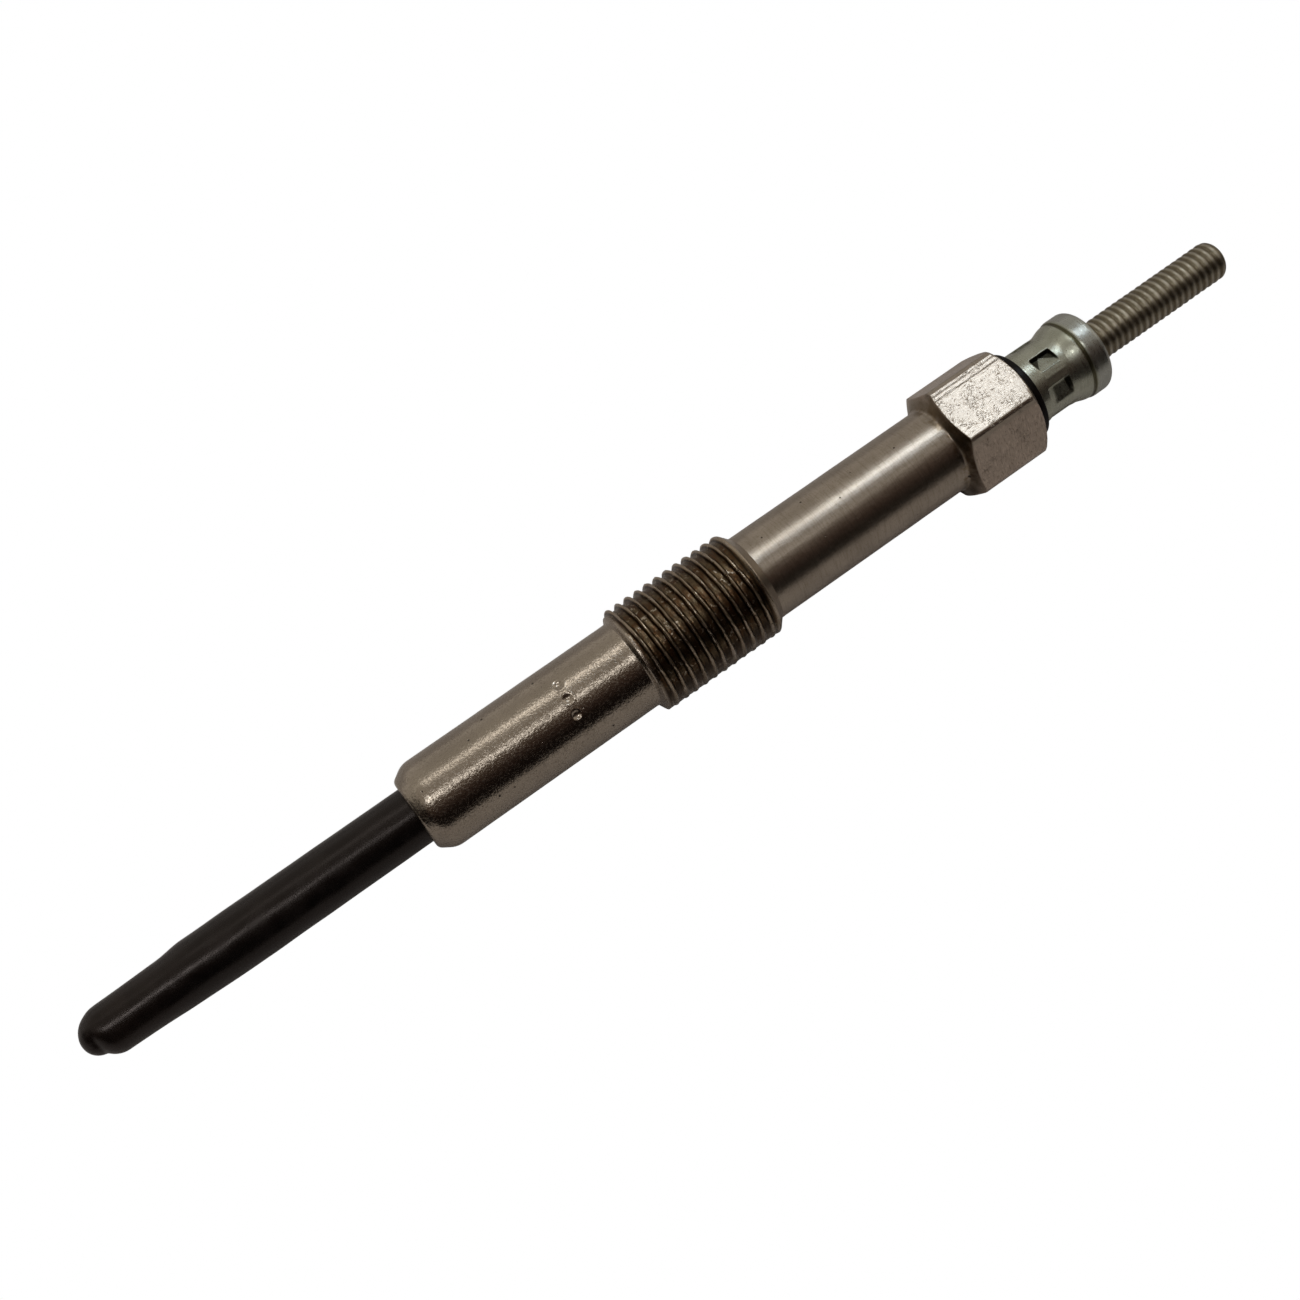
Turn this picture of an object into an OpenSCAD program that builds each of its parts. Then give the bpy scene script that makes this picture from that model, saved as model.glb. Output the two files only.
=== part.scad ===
// Diesel glow plug, metal-sheathed type with two coils, lying on one flat of its hexagon.
// The axis runs along X: heater tip at -X, terminal stud at +X. Lengths below are counted from the tip.

/* [Heater sheath] */
// Outside diameter of the sheath where it enters the housing
sheath_d = 5.1; // [4.6:0.1:5.6]
// Outside diameter of the swaged tip next to the nose
tip_d = 4.45; // [4:0.05:4.5]
// Outside diameter of the swaged tip where it meets the swage taper
neck_d = 4.65; // [4.4:0.05:4.8]
// Length of the tip from its end to the swage taper
tip_len = 8.1; // [7:0.1:12]
// Length of the swage taper
swage_len = 2.3; // [1:0.1:4]
// Diameter of the dome of weld metal that closes the tip
nose_d = 3; // [2.4:0.1:3.4]
// Height of the dome that shows below the rounded shoulder
nose_len = 0.95; // [0.8:0.05:1.2]
// Radius of the shoulder between the dome and the tip
nose_shoulder_r = 1.9; // [1.2:0.1:1.9]
// Thickness of the closed end, from the outside of the dome to the inside
nose_wall = 1.7; // [1.5:0.05:2]
// Length of the sheath that stands out of the housing
sheath_reach = 31; // [24:0.5:40]
// Length of the sheath that is pressed into the housing
sheath_grip = 19; // [12:0.5:20]
// Wall thickness of the sheath
sheath_wall = 0.45; // [0.4:0.05:0.5]

/* [Housing] */
// Diameter of the shank between the conical seat and the thread
front_d = 8.1; // [7.4:0.1:8.6]
// Length from the front face to the thread
front_len = 21.8; // [20.5:0.1:30]
// Diameter of the front face, where the conical seat begins
seat_d = 6.4; // [6:0.1:7]
// Angle of the conical seat from the axis
seat_angle = 33; // [30:1:50]
// Radius that blends the conical seat into the shank
seat_blend_r = 0.6; // [0.4:0.1:1.5]
// Outside diameter of the M10 x 1 thread
thread_d = 9.9; // [9.6:0.05:10]
// Length of the thread with its chamfers
thread_len = 12.3; // [8:0.1:20]
// Chamfer at each end of the thread
thread_chamfer = 0.6; // [0.3:0.05:0.8]
// Diameter of the shank between the thread and the hexagon
rear_d = 8.05; // [7.4:0.05:8.6]
// Length from the thread to the shoulder of the hexagon
rear_len = 20.2; // [15:0.1:30]
// Length of the conical shoulder up to the flats of the hexagon
shoulder_len = 0.35; // [0.2:0.05:1.5]
// Hexagon width across flats
hex_af = 10; // [9.9:0.1:13]
// Length of the hexagon
hex_len = 7.8; // [7:0.1:12]
// Diameter of the round top face of the hexagon, inside its chamfer
hex_top_d = 9.1; // [8.8:0.1:9.6]
// Angle of the chamfer at the top of the hexagon, from the top face
hex_chamfer_angle = 30; // [15:1:45]
// Diameter of the bore behind the pressed sheath
bore_d = 5.4; // [5.1:0.1:5.8]
// Diameter of the seal pocket in the hexagon end
pocket_d = 6.9; // [6.4:0.1:7.2]
// Depth of the seal pocket
pocket_depth = 5.5; // [4:0.1:6.5]

/* [Centre electrode] */
// Diameter of the rod in the housing, and of the threads where stud and nut engage
rod_d = 3.3; // [3:0.1:3.3]
// Diameter of the rod inside the sheath
rod_front_d = 2.9; // [2.6:0.1:3]
// Diameter of the spigot that carries the last turns of the regulating coil
spigot_d = 1.4; // [1:0.05:1.45]
// Length of that spigot
spigot_len = 2.6; // [2:0.1:3]
// Length of the slope between the two diameters of the rod
rod_slope = 0.6; // [0.3:0.1:1]
// Outside diameter of the M4 stud
stud_d = 3.8; // [3.7:0.05:4]
// Length of the stud that stands out of the round nut
stud_len = 15.6; // [10:0.1:20]
// Radius of the rounded edge at the end of the stud
stud_edge_r = 0.9; // [0.4:0.1:1.5]

/* [Coils] */
// Wire diameter of both coils
wire_d = 0.4; // [0.3:0.02:0.44]
// Outside diameter of both coils
coil_d = 2.4; // [2.3:0.05:2.5]
// Turns of the heating coil in the tip
heating_turns = 9; // [6:1:10]
// Pitch of the heating coil
heating_pitch = 0.8; // [0.7:0.05:0.9]
// Turns of the regulating coil behind it
regulating_turns = 16; // [10:1:18]
// Pitch of the regulating coil
regulating_pitch = 0.75; // [0.7:0.05:0.85]
// Length of the straight wire end that is welded into the nose
weld_leg = 1; // [0.5:0.1:1.5]

/* [Seals and insulation] */
// Length of the rubber plug that closes the sheath
seal_len = 3; // [2:0.1:4]
// Depth of that plug below the rim of the sheath
seal_depth = 0.5; // [0.2:0.1:1]
// Clearance of the sealing ring between the rod and the pocket
ring_gap = 0.04; // [0.02:0.01:0.1]
// Diameter of the flange of the insulating bush
bush_flange_d = 8.5; // [7.6:0.1:8.6]
// Thickness of that flange
bush_flange_len = 0.8; // [0.5:0.1:1.5]
// Edge radius of that flange
bush_edge_r = 0.2; // [0.1:0.05:0.25]
// Clearance between the bush, the pocket and the rod
bush_gap = 0.05; // [0.02:0.01:0.1]

/* [Round nut] */
// Diameter of the body of the nut
nut_d = 6.9; // [6.6:0.1:7.4]
// Length of the body of the nut
nut_body_len = 5.2; // [4:0.1:6]
// Diameter of the flange of the nut
nut_flange_d = 7.8; // [7.6:0.1:9]
// Thickness of the flange of the nut
nut_flange_len = 2.4; // [2:0.1:4]
// Radius of the rounded edge of the flange toward the body
nut_lower_edge_r = 0.9; // [0.4:0.1:1.2]
// Radius of the rounded edge of the flange toward the stud
nut_upper_edge_r = 0.4; // [0.2:0.1:0.6]
// Number of crimp dents round the body
dent_count = 7; // [4:1:8]
// Distance from the axis to the floor of a dent
dent_floor_r = 3.05; // [2.8:0.05:3.1]
// Width of a dent round the body
dent_width = 2; // [1.6:0.1:2.4]
// Length of a dent along the body
dent_len = 2.1; // [1.5:0.1:2.4]
// Distance from the bush to the middle of a dent
dent_mid = 2.5; // [2.2:0.1:3]
// Angle of the first dent from the upward flat of the hexagon
dent_turn = 6; // [-30:1:30]
// Tilt of the floor of a dent, deeper on one side as the crimping jaws twist
dent_tilt = 8; // [0:1:12]

/* [Hidden] */

$fn = 96;
wire_sides = 6;
wire_steps = 12;
cut = 1;

// Stations along the axis, from the tip
swage_z = tip_len + swage_len;
front_z = sheath_reach;
thread_z = front_z + front_len;
rear_z = thread_z + thread_len;
shoulder_z = rear_z + rear_len;
hex_z = shoulder_z + shoulder_len;
top_z = hex_z + hex_len;
pocket_z = top_z - pocket_depth;
ring_section = (pocket_d - rod_d) / 2 - ring_gap;
nut_z = top_z + bush_flange_len;
nut_flange_z = nut_z + nut_body_len;
nut_top_z = nut_flange_z + nut_flange_len;
overall_len = nut_top_z + stud_len;
sheath_end_z = front_z + sheath_grip;
seal_top_z = sheath_end_z - seal_depth;
powder_top_z = seal_top_z - seal_len;

// Inside of the sheath, which keeps an even wall along the tip and the swage
sheath_bore = sheath_d - 2 * sheath_wall;
tip_bore = tip_d - 2 * sheath_wall;
neck_bore = neck_d - 2 * sheath_wall;
nose_bore = tip_bore - 2 * nose_shoulder_r * tan(30);
nose_bore_end_z = nose_wall + nose_shoulder_r;

// Conical seat, which ends where its blend into the shank begins
seat_edge_r = front_d / 2 - seat_blend_r * (1 - cos(seat_angle));
seat_edge_z = front_z + (seat_edge_r - seat_d / 2) / tan(seat_angle);
seat_top_z = seat_edge_z + seat_blend_r * sin(seat_angle);

// Hexagon, and the turned blank whose shoulder cone and chamfer trim its corners and end outside them
hex_corner_r = hex_af / 2 / cos(30);
blank_r = hex_corner_r + cut;
blank_foot = shoulder_len * 2 * cut / (hex_af - rear_d);
blank_rise = shoulder_len * (2 * blank_r - rear_d) / (hex_af - rear_d);
blank_drop = (blank_r - hex_top_d / 2) * tan(hex_chamfer_angle);
rest_height = max(hex_af, thread_d) / 2;

// Coil stations: straight weld end, half a turn outward, heating coil, regulating coil
coil_r = (coil_d - wire_d) / 2;
spread_z = nose_wall + weld_leg;
heating_z = spread_z + heating_pitch;
regulating_z = heating_z + heating_turns * heating_pitch;
coil_end_z = regulating_z + regulating_turns * regulating_pitch;
spread_steps = wire_steps / 2;
joint_ring = 1 + spread_steps + heating_turns * wire_steps;
spigot_z = coil_end_z + wire_d - spigot_len;
rod_front_z = spigot_z + spigot_len;
rod_z = sheath_end_z + rod_slope;

// Route of the wire through both coils, each entry as [angle, radius, height]
weld_route = [[0, 0, nose_wall]];
spread_route = [
    for (i = [0 : spread_steps])
        [180 * i / spread_steps, coil_r * i / spread_steps, spread_z + heating_pitch * i / spread_steps]
];
heating_route = [
    for (i = [1 : heating_turns * wire_steps])
        [180 + 360 * i / wire_steps, coil_r, heating_z + heating_pitch * i / wire_steps]
];
regulating_route = [
    for (i = [1 : regulating_turns * wire_steps])
        [180 + 360 * i / wire_steps, coil_r, regulating_z + regulating_pitch * i / wire_steps]
];
coil_route = concat(weld_route, spread_route, heating_route, regulating_route);
last_ring = len(coil_route) - 1;

function outward(i) = [cos(coil_route[i][0]), sin(coil_route[i][0]), 0];
function wire_centre(i) = coil_route[i][1] * outward(i) + [0, 0, coil_route[i][2]];
function unit(v) = v / norm(v);
function along(i) =
    i <= 1 ? [0, 0, 1] : unit(wire_centre(min(i + 1, last_ring)) - wire_centre(i - 1));

// Corners of the wire's section at one point of its route
function wire_ring(i) =
    let (
        t = along(i),
        n = unit(outward(i) - t * (outward(i) * t)),
        b = cross(t, n)
    )
    [
        for (k = [0 : wire_sides - 1])
            let (a = 360 * k / wire_sides)
            wire_centre(i) + wire_d / 2 * (n * cos(a) + b * sin(a))
    ];

// Lays the plug down along X on the lowest flat, with its middle over the origin
module lying() {
    translate([-overall_len / 2, 0, rest_height])
        rotate([0, 90, 0])
            children();
}

// A plain disc or sleeve section, drawn as radius against height
module band(r_in, r_out, z_from, z_to) {
    translate([r_in, z_from])
        square([r_out - r_in, z_to - z_from]);
}

// The wire between two points of its route, as one swept tube
module wire(first, last) {
    rings = [for (i = [first : last]) each wire_ring(i)];
    walls = [
        for (i = [0 : last - first - 1], k = [0 : wire_sides - 1])
            let (a = i * wire_sides, j = (k + 1) % wire_sides)
            each [
                [a + k, a + k + wire_sides, a + j + wire_sides],
                [a + k, a + j + wire_sides, a + j]
            ]
    ];
    start_cap = [[for (k = [0 : wire_sides - 1]) k]];
    end_cap = [[for (k = [wire_sides - 1 : -1 : 0]) (last - first) * wire_sides + k]];
    polyhedron(rings, concat(walls, start_cap, end_cap));
}

// Outline of the hollow inside the sheath up to a given height
module sheath_inside(z_to) {
    polygon([
        [0, nose_wall],
        [nose_bore / 2, nose_wall],
        [tip_bore / 2, nose_bore_end_z],
        [neck_bore / 2, tip_len],
        [sheath_bore / 2, swage_z],
        [sheath_bore / 2, z_to],
        [0, z_to]
    ]);
}

// Outline of the sheath's outside, with the dome and the rounded shoulder of the nose
module sheath_outside() {
    shoulder_top = nose_len + nose_shoulder_r;
    intersection() {
        union() {
            translate([0, nose_d / 2])
                circle(d = nose_d);
            translate([tip_d / 2 - nose_shoulder_r, shoulder_top])
                circle(r = nose_shoulder_r);
        }
        band(0, tip_d, 0, shoulder_top);
    }
    polygon([
        [0, shoulder_top],
        [tip_d / 2, shoulder_top],
        [neck_d / 2, tip_len],
        [sheath_d / 2, swage_z],
        [sheath_d / 2, sheath_end_z],
        [0, sheath_end_z]
    ]);
}

// Closed tube of heat-resisting steel, swaged down at its tip
module heater_sheath() {
    color("#2b2727")
        lying()
            rotate_extrude()
                difference() {
                    sheath_outside();
                    sheath_inside(sheath_end_z + cut);
                }
}

// Coil that heats, welded into the nose of the sheath
module heating_coil() {
    color("#8d8a84")
        lying()
            wire(0, joint_ring);
}

// Coil that limits the current, joined to the heating coil and to the rod
module regulating_coil() {
    color("#b3a58c")
        lying()
            wire(joint_ring, last_ring);
}

// Packed magnesia that fills the sheath round the coils and the rod
module insulating_powder() {
    color("#ece8de")
        lying()
            difference() {
                rotate_extrude()
                    sheath_inside(powder_top_z);
                rotate_extrude()
                    electrode_outline();
                wire(0, joint_ring);
                wire(joint_ring, last_ring);
            }
}

// Rubber plug between the rod and the open end of the sheath
module sheath_seal() {
    color("#7a2f22")
        lying()
            rotate_extrude()
                band(rod_front_d / 2, sheath_bore / 2, powder_top_z, seal_top_z);
}

// Outline of the centre electrode, from the coil spigot to the rounded end of the stud
module electrode_outline() {
    stud_edge_z = overall_len - stud_edge_r;
    polygon([
        [0, spigot_z],
        [spigot_d / 2, spigot_z],
        [spigot_d / 2, rod_front_z],
        [rod_front_d / 2, rod_front_z],
        [rod_front_d / 2, rod_z],
        [rod_d / 2, rod_z + rod_slope],
        [rod_d / 2, nut_top_z],
        [stud_d / 2, nut_top_z],
        [stud_d / 2, stud_edge_z],
        [0, stud_edge_z]
    ]);
    band(0, stud_d / 2 - stud_edge_r, stud_edge_z, overall_len);
    translate([stud_d / 2 - stud_edge_r, stud_edge_z])
        circle(r = stud_edge_r);
}

// Steel rod that carries the current, one piece with the M4 terminal stud
module centre_electrode() {
    color("#8a8278")
        lying()
            rotate_extrude()
                electrode_outline();
}

// Rubber ring that seals the rod in the pocket of the housing
module sealing_ring() {
    color("#1d1d1d")
        lying()
            translate([0, 0, pocket_z + ring_section / 2])
                rotate_extrude()
                    translate([(pocket_d + rod_d) / 4, 0])
                        circle(d = ring_section);
}

// Black bush that keeps the round nut off the housing
module insulating_bush() {
    bush_bore_r = rod_d / 2 + bush_gap;
    color("#161616")
        lying()
            rotate_extrude() {
                band(bush_bore_r, pocket_d / 2 - bush_gap, pocket_z + ring_section, nut_z);
                band(bush_bore_r, bush_flange_d / 2 - bush_edge_r, top_z, nut_z);
                band(bush_bore_r, bush_flange_d / 2, top_z + bush_edge_r, nut_z - bush_edge_r);
                for (z = [top_z + bush_edge_r, nut_z - bush_edge_r])
                    translate([bush_flange_d / 2 - bush_edge_r, z])
                        circle(r = bush_edge_r);
            }
}

// Outline of the steel body up into the hexagon: seat cone, shanks and the thread at its full diameter
module housing_outline() {
    translate([front_d / 2 - seat_blend_r, seat_top_z])
        circle(r = seat_blend_r);
    polygon([
        [0, front_z],
        [seat_d / 2, front_z],
        [seat_edge_r, seat_edge_z],
        [front_d / 2, seat_top_z],
        [front_d / 2, thread_z],
        [thread_d / 2 - thread_chamfer, thread_z],
        [thread_d / 2, thread_z + thread_chamfer],
        [thread_d / 2, rear_z - thread_chamfer],
        [thread_d / 2 - thread_chamfer, rear_z],
        [rear_d / 2, rear_z],
        [rear_d / 2, hex_z],
        [0, hex_z]
    ]);
}

// Outline of the turned blank of the hexagon: shoulder cone from inside the shank, rim and top chamfer
module hex_blank_outline() {
    polygon([
        [0, shoulder_z - blank_foot],
        [rear_d / 2 - cut, shoulder_z - blank_foot],
        [blank_r, shoulder_z + blank_rise],
        [blank_r, top_z - blank_drop],
        [hex_top_d / 2, top_z],
        [0, top_z]
    ]);
}

// Turned steel body with the mounting thread, the conical seat and the hexagon
module housing() {
    color("#8d8478")
        lying()
            difference() {
                union() {
                    rotate_extrude()
                        housing_outline();
                    intersection() {
                        translate([0, 0, rear_z])
                            rotate(30)
                                cylinder(r = hex_corner_r, h = top_z + cut - rear_z, $fn = 6);
                        rotate_extrude()
                            hex_blank_outline();
                    }
                }
                rotate_extrude() {
                    band(0, sheath_d / 2, front_z - cut, sheath_end_z);
                    band(0, bore_d / 2, sheath_end_z, pocket_z + cut);
                    band(0, pocket_d / 2, pocket_z, top_z + cut);
                }
            }
}

// Outline of the round nut with its flange
module nut_outline() {
    bore_r = rod_d / 2;
    flange_r = nut_flange_d / 2;
    lower_z = nut_flange_z + nut_lower_edge_r;
    upper_z = nut_top_z - nut_upper_edge_r;
    band(bore_r, nut_d / 2, nut_z, lower_z);
    band(bore_r, flange_r, lower_z, upper_z);
    band(bore_r, flange_r - nut_upper_edge_r, upper_z, nut_top_z);
    translate([flange_r - nut_lower_edge_r, lower_z])
        circle(r = nut_lower_edge_r);
    translate([flange_r - nut_upper_edge_r, upper_z])
        circle(r = nut_upper_edge_r);
}

// Zinc-plated round nut, held on the stud by a ring of crimp dents
module round_nut() {
    color("#9a957c")
        lying()
            difference() {
                rotate_extrude()
                    nut_outline();
                for (i = [0 : dent_count - 1])
                    rotate(180 + dent_turn + 360 * i / dent_count)
                        translate([dent_floor_r, 0, nut_z + dent_mid - dent_len / 2])
                            rotate(-dent_tilt)
                                translate([0, -dent_width / 2, 0])
                                    cube([nut_d, dent_width, dent_len]);
            }
}

housing();
heater_sheath();
heating_coil();
regulating_coil();
insulating_powder();
sheath_seal();
centre_electrode();
sealing_ring();
insulating_bush();
round_nut();
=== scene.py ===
"""Diesel glow plug on one flat of its hexagon: detailed meshes, worn metals, studio light and camera."""
import math
from dataclasses import dataclass
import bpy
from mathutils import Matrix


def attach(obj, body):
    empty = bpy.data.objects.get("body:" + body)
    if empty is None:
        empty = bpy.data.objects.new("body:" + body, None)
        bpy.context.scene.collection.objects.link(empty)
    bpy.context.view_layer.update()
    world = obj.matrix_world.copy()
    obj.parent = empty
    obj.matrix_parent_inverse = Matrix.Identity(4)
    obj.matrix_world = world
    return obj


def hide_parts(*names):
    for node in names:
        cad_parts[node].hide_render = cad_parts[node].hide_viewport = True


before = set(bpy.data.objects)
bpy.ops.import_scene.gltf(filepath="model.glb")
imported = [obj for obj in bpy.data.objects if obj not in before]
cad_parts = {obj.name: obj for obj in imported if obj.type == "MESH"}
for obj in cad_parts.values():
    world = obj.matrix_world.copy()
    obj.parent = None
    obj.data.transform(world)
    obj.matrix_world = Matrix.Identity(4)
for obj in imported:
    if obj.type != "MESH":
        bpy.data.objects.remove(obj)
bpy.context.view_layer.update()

from types import SimpleNamespace

import bpy
import numpy as np
from mathutils import Matrix, Vector

MM = 0.001
TAU = 2 * math.pi

# Stations along the plug in mm from its tip, as in the solids but for the seat, shoulder and groove
NOSE_END = 2.85            # rounded nose runs into the tip of the sheath
ROD_START = 20.5           # front end of the rod's spigot
SPIGOT_END = 23.1
FRONT = 31.0               # front face of the housing
SEAT_EDGE = 31.79          # end of the plain cone of the seat
SEAT_TOP = 32.90           # front shank begins
PRESSED_END = 50.0         # inner end of the sheath
THREAD = 52.8
THREAD_MIDDLE = 59.0
THREAD_END = 65.1
SHOULDER = 85.42           # foot of the cone under the hexagon
HEX = 85.8
POCKET = 87.95             # floor of the pocket in the hexagon
BUSH = 89.71               # inner end of the bush in that pocket
HEX_TOP = 93.45
NUT = 94.25                # nut's face on the bush
GROOVE = 99.93             # groove under the nut's flange
FLANGE = 100.35            # middle of the rounding under the flange
NUT_TOP = 101.85
LENGTH = 117.45            # end of the stud
STUD_ROUND = LENGTH - 0.9  # stud's end begins to round off

# Radii in mm, as in the solids but for hairline gaps at two bores and the worn stud
R_DOME = 1.5               # weld dome on the nose
R_NOSE_EDGE = 1.9          # rounding of the nose
R_TIP = 2.225              # sheath behind its nose
R_SHEATH = 2.55
R_PRESS_BORE = 2.552       # housing's bore round the sheath
R_BORE = 2.7               # housing's bore behind the sheath
R_SEAT_EDGE = 2.874        # middle of the rounding at the front face
R_SEAT = 3.2               # cone of the seat carried on to the front face
R_FRONT = 4.05             # front shank
R_THREAD = 4.95            # crests of the body thread
R_REAR = 4.025             # rear shank
HEX_FLAT = 5.0             # axis to flat
R_HEX_TOP = 4.55           # chamfer of the hexagon at its top face
R_POCKET = 3.45
R_BUSH_NECK = 3.4
R_BUSH_BORE = 1.70
R_NUT = 3.45               # barrel of the nut
R_FLANGE = 3.9
R_NUT_BORE = 1.652
R_ROD = 1.65
R_STUD = 1.89              # crests of the stud's thread

# Other measures of the plug
AXIS_H = HEX_FLAT          # mm, height of the axis over the floor
SEAT_ANGLE = 33            # degrees between the seat's cone and the axis
BODY_PITCH = 1.0
STUD_PITCH = 0.7
TIP_LENGTH = 5.25          # slight taper behind the nose
TIP_TAPER = 0.1
SWAGE_STEP = R_SHEATH - R_TIP - TIP_TAPER
FLANGE_EDGE = 0.9          # rounding under the flange
NUT_EDGE = 0.15            # rounding at the nut's foot
EDGE_BEVEL = (5.70, 5.60, 5.66, 5.66, 5.62, 5.635)   # axis to each worn edge of the hexagon
SCORE_DEG = (24.6, 20.0)                             # two tool lines along the top flat
PUNCH_MARKS = ((46.15, -9, 0.40), (46.1, 11, 0.42), (45.95, 32, 0.38))   # station, degrees, size


# Mesh tools: every metal piece is a set of rings round the plug's axis

def smooth(lo, hi, v):
    """0 below lo, 1 above hi, with soft ends."""
    t = np.clip((v - lo) / (hi - lo), 0, 1)
    return t * t * (3 - 2 * t)


def soft_min(a, b, k):
    """Lower of two radii with the edge between them rounded over about k mm."""
    h = np.clip(0.5 + 0.5 * (b - a) / k, 0, 1)
    return b * (1 - h) + a * h - k * h * (1 - h)


def soft_max(a, b, k):
    """Higher of two radii with the corner between them filled over about k mm."""
    return -soft_min(-a, -b, k)


def bell(v, width):
    """1 at 0, falling off on both sides over about the width."""
    return np.exp(-(v / width) ** 2)


def full_turn(count):
    """Evenly spaced angles round the axis."""
    return np.linspace(0, TAU, count, endpoint=False)


def ring_points(z, r, ang):
    """Ring at station z; angle 0 is straight up and turns toward -Y, right-handed about +X."""
    z = np.broadcast_to(z, ang.shape)
    r = np.broadcast_to(r, ang.shape)
    return np.stack([z - LENGTH / 2, -r * np.sin(ang), AXIS_H + r * np.cos(ang)], -1) * MM


def ring_faces(first, second, count):
    """Faces between two rings, each given as its first vertex and whether it is a single point."""
    a, a_is_point = first
    b, b_is_point = second
    j = np.arange(count)
    k = (j + 1) % count
    if a_is_point:
        corners = [np.full(count, a), b + k, b + j]
    elif b_is_point:
        corners = [a + j, a + k, np.full(count, b)]
    else:
        corners = [a + j, a + k, b + k, b + j]
    return np.stack(corners, 1).tolist()


def lathe(name, rows, ang, sharp, loop=False):
    """Mesh from rings given as (z, r) or (z, r, stain_and_shade), numbers or arrays over ang; the third value
    holds dirt and painted shade for the materials. Radius 0 is a point.
    """
    verts, stain_and_shade, rings = [], [], []
    count = 0
    for z, r, *dirt in rows:
        is_point = np.isscalar(r) and r == 0
        points = ring_points(z, r, ang[:1] if is_point else ang)
        rings.append((count, is_point))
        verts.append(points)
        stain_and_shade.append(np.broadcast_to(dirt[0] if dirt else 0.0, len(points)))
        count += len(points)
    pairs = list(zip(rings, rings[1:]))
    if loop:
        pairs.append((rings[-1], rings[0]))
    faces = []
    for first, second in pairs:
        faces += ring_faces(first, second, len(ang))
    mesh = bpy.data.meshes.new(name)
    mesh.from_pydata(np.concatenate(verts).tolist(), [], faces)
    mesh.validate()
    layer = mesh.attributes.new("stain_and_shade", "FLOAT", "POINT")
    layer.data.foreach_set("value", np.concatenate(stain_and_shade).astype(np.float32))
    mesh.shade_smooth()
    mesh.set_sharp_from_angle(angle=math.radians(sharp))
    obj = bpy.data.objects.new(name, mesh)
    bpy.context.scene.collection.objects.link(obj)
    return obj


def arc(z, r, radius, start, end, steps):
    """Rings of a rounded edge about the middle (z, r): 0 degrees points outward, 90 toward +X."""
    turns = np.radians(np.linspace(start, end, steps))
    return [(z + radius * math.sin(t), r + radius * math.cos(t)) for t in turns]


def thread_depth(frac, bow):
    """0 on the crest, 1 in the root, over one pitch: a V whose crest is rounded by the share bow."""
    reach = 0.97               # share of a quarter circle's width, so that its end stays short of upright
    t = np.abs(frac - 0.5) * 2
    arch = (1 - np.sqrt(1 - (reach * t) ** 2)) / (1 - math.sqrt(1 - reach ** 2))
    return (1 - bow) * t + bow * arch


def ridge_depth(frac):
    """0 on the crest, 1 in the valley, over one pitch: a narrow round ridge and a wide, bulging valley."""
    ridge = 0.6
    t = np.abs(frac - 0.5) * 2
    valley = np.clip((t - ridge) / (1 - ridge), 0, 1)
    return np.sin(np.clip(t / ridge, 0, 1) * math.pi / 2) ** 2 - 0.08 * np.sin(valley * math.pi / 2)


def ripple(z, ang, seed, amp):
    """Slight unevenness of a real surface, in mm: seven waves with seeded directions."""
    waves = 7
    rng = np.random.default_rng(seed)
    out = 0
    for _ in range(waves):
        along = rng.uniform(0.15, 1.6)
        around = rng.integers(1, 7)
        out = out + math.sqrt(1 / waves) * amp * np.sin(along * z + around * ang + rng.uniform(0, TAU))
    return out


# Sheath

def nose_rows(ang):
    """Small weld dome, then a rounded shoulder; weld metal fills the groove between them on one side."""
    filled = smooth(-0.4, 0.6, np.cos(ang + math.radians(69)))
    dome_stations = [R_DOME - R_DOME * math.cos(math.radians(t)) for t in range(7, 62, 6)]
    edge_start = NOSE_END - R_NOSE_EDGE
    rows = []
    for z in dome_stations + list(np.linspace(0.82, NOSE_END, 27)):
        dome = math.sqrt(R_DOME ** 2 - max(R_DOME - z, 0) ** 2)
        edge = 0.0
        if z > edge_start:
            edge = R_TIP - R_NOSE_EDGE + math.sqrt(R_NOSE_EDGE ** 2 - (NOSE_END - z) ** 2)
        bare = float(soft_max(dome, edge, 0.18))
        full = math.sqrt(R_TIP ** 2 - max(R_TIP - z, 0) ** 2)
        rows.append((z, bare + 0.85 * filled * max(full - bare, 0)))
    return rows


def swage_rows(ang):
    """Tip, swage and free length; the swage is short on the upper side and drawn out on the lower one."""
    drawn = smooth(0.0, 0.9, np.cos(ang - math.radians(111)))
    start = 8.0 - 3.0 * drawn
    end = 10.5 + 4.0 * drawn
    tip = np.linspace(3.2, 7.8, 12)
    swage = np.linspace(8.0, 15.0, 40)
    free = np.linspace(15.5, FRONT + 0.4, 32)
    rows = []
    for z in np.concatenate([tip, swage, free]):
        slope = smooth(start, end, z)
        taper = TIP_TAPER * min((z - NOSE_END) / TIP_LENGTH, 1)
        rows.append((z, R_TIP + taper + SWAGE_STEP * slope))
    return rows


def build_sheath():
    """Closed tube with a swaged tip, hollow inside, pressed into the housing."""
    ang = full_turn(160)
    rows = [(0.0, 0)]
    for z, r in nose_rows(ang) + swage_rows(ang):
        rows.append((z, r + ripple(z, ang, 3, 0.008) * smooth(1.0, 4.0, z)))
    pressed = [(40, R_SHEATH), (PRESSED_END, R_SHEATH)]
    hollow = [(PRESSED_END, 2.1), (10.4, 2.1), (8.1, 1.875), (3.6, 1.775), (1.7, 0.678), (1.7, 0)]
    return lathe("sheath", rows + pressed + hollow, ang, sharp=40)


# Housing

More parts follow.
